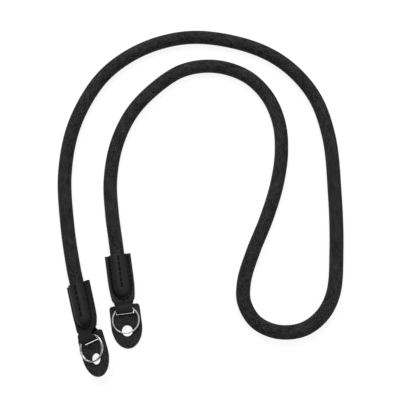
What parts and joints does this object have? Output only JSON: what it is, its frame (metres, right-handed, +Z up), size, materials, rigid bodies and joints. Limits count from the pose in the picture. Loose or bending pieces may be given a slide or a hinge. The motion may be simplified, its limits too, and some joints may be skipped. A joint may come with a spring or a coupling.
{
  "type": "rope camera neck strap",
  "caption": "Braided rope camera neck strap with stitched leather sleeves, split rings and leather guard pads.",
  "frame": {"origin": "on the surface that the strap lies on, under the middle of the whole strap", "axes": "+Z up, away from the surface; the two ends point to -Y, the top of the loop lies towards +Y"},
  "size_m": [0.2111, 0.2638, 0.0141],
  "materials": {
    "rope": "fine tight braid, matt black",
    "sleeve_leather": "smooth, low sheen, black",
    "guard_leather": "fine grain, low sheen, black",
    "ring_steel": "polished"
  },
  "bodies": {
    "strap": {"rope": "rope", "left_sleeve": "sleeve_leather", "right_sleeve": "sleeve_leather", "left_guard": "guard_leather", "right_guard": "guard_leather"},
    "left_ring": {"left_ring": "ring_steel"},
    "right_ring": {"right_ring": "ring_steel"}
  },
  "joints": [
    {"name": "left_ring_swing", "type": "hinge", "parent": "strap", "child": "left_ring", "pos_m": [-0.07817, -0.1046, 0.00805], "axis": [-0.8226, -0.3272, -0.4651], "range_deg": [0, 150]},
    {"name": "right_ring_swing", "type": "hinge", "parent": "strap", "child": "right_ring", "pos_m": [-0.0534, -0.08448, 0.00657], "axis": [-0.9903, -0.1392, 0], "range_deg": [0, 150]}
  ]
}
